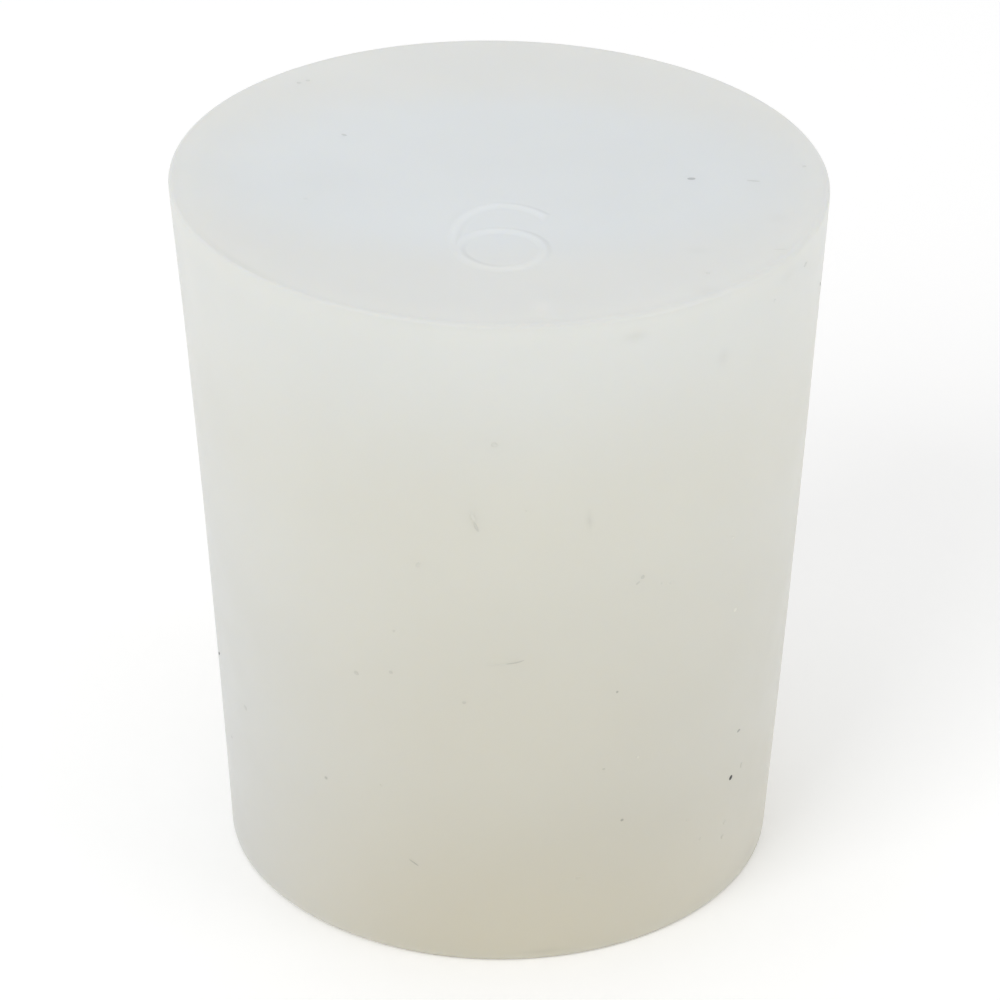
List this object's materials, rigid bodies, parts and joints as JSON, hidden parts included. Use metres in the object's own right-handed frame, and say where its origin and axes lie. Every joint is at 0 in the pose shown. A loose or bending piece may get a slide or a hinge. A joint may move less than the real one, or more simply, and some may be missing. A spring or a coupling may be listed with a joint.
{
  "type": "rubber stopper",
  "caption": "Solid tapered stopper of translucent silicone rubber that wedges into the neck of a flask, bottle or tube.",
  "frame": {"origin": "centre of the small end, which it stands on", "axes": "+Z along the taper's axis, from the small end up to the large end; it is a solid of revolution, so X and Y are free, and the raised size number on the large end reads upright from the -Y side"},
  "size_m": [0.024, 0.024, 0.0275],
  "materials": {
    "silicone": "translucent milky white silicone rubber, satin moulded surface"
  },
  "bodies": {
    "root": {"stopper": "silicone"}
  },
  "joints": []
}
